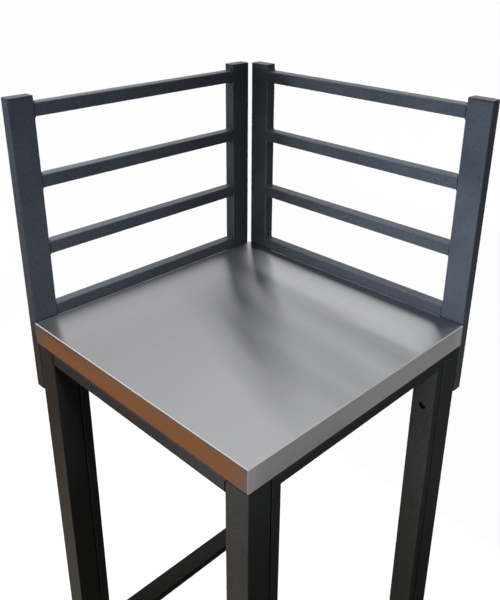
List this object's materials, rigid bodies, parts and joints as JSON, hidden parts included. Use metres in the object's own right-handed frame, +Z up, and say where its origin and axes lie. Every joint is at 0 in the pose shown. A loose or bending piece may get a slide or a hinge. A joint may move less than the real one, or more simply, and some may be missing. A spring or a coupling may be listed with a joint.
{
  "type": "outdoor kitchen corner module",
  "caption": "Square stainless worktop on a tubular steel frame, with a ladder railing behind two edges and levelling feet, for the corner of an outdoor kitchen.",
  "frame": {"origin": "on the floor, under the middle of the whole module's outline", "axes": "+X along the front edge to the right, +Y from the front edge to the back railing, +Z up"},
  "size_m": [0.6316, 0.6316, 1.3585],
  "materials": {
    "frame_coat": "fine textured near-black powder coat",
    "railing_coat": "fine textured dark blue-grey powder coat",
    "cap_plastic": "fine matt grey moulded plastic",
    "worktop_steel": "brushed stainless steel",
    "board": "film-faced board",
    "seal_rubber": "matt black rubber",
    "foot_plastic": "matt black moulded plastic",
    "zinc_steel": "zinc-plated steel"
  },
  "bodies": {
    "module": {"leg_front_left": "frame_coat", "leg_front_right": "frame_coat", "leg_back_left": "frame_coat", "leg_back_right": "frame_coat", "leg_top_plates": "frame_coat", "front_rail": "frame_coat", "back_rail": "frame_coat", "left_stile_front": "frame_coat", "left_stile_back": "frame_coat", "left_upper_rail": "frame_coat", "left_lower_rail": "frame_coat", "right_stile_front": "frame_coat", "right_stile_back": "frame_coat", "right_upper_rail": "frame_coat", "right_lower_rail": "frame_coat", "side_frame_bolts": "zinc_steel", "side_frame_washers": "zinc_steel", "side_frame_spacers": "zinc_steel", "side_frame_rivet_nuts": "zinc_steel", "worktop_skin": "worktop_steel", "worktop_core": "board", "front_seal_strip": "seal_rubber", "back_seal_strip": "seal_rubber", "worktop_screws": "zinc_steel", "left_railing_front_post": "railing_coat", "left_railing_back_post": "railing_coat", "left_rung_1": "railing_coat", "left_rung_2": "railing_coat", "left_rung_3": "railing_coat", "left_rung_4": "railing_coat", "right_railing_outer_post": "railing_coat", "right_railing_corner_post": "railing_coat", "right_rung_1": "railing_coat", "right_rung_2": "railing_coat", "right_rung_3": "railing_coat", "right_rung_4": "railing_coat", "left_railing_caps": "cap_plastic", "right_railing_caps": "cap_plastic", "railing_bolts": "zinc_steel", "railing_washers": "zinc_steel", "railing_spacers": "zinc_steel", "railing_rivet_nuts": "zinc_steel", "leg_plug_front_left": "foot_plastic", "leg_plug_front_right": "foot_plastic", "leg_plug_back_left": "foot_plastic", "leg_plug_back_right": "foot_plastic", "foot_lock_nuts": "zinc_steel"},
    "foot_front_left": {"foot_stud_front_left": "zinc_steel", "foot_pad_front_left": "foot_plastic"},
    "foot_front_right": {"foot_stud_front_right": "zinc_steel", "foot_pad_front_right": "foot_plastic"},
    "foot_back_left": {"foot_stud_back_left": "zinc_steel", "foot_pad_back_left": "foot_plastic"},
    "foot_back_right": {"foot_stud_back_right": "zinc_steel", "foot_pad_back_right": "foot_plastic"}
  },
  "joints": [
    {"name": "foot_front_left_height", "type": "slide", "parent": "module", "child": "foot_front_left", "axis": [0, 0, -1], "range_m": [0, 0.02]},
    {"name": "foot_front_right_height", "type": "slide", "parent": "module", "child": "foot_front_right", "axis": [0, 0, -1], "range_m": [0, 0.02]},
    {"name": "foot_back_left_height", "type": "slide", "parent": "module", "child": "foot_back_left", "axis": [0, 0, -1], "range_m": [0, 0.02]},
    {"name": "foot_back_right_height", "type": "slide", "parent": "module", "child": "foot_back_right", "axis": [0, 0, -1], "range_m": [0, 0.02]}
  ]
}
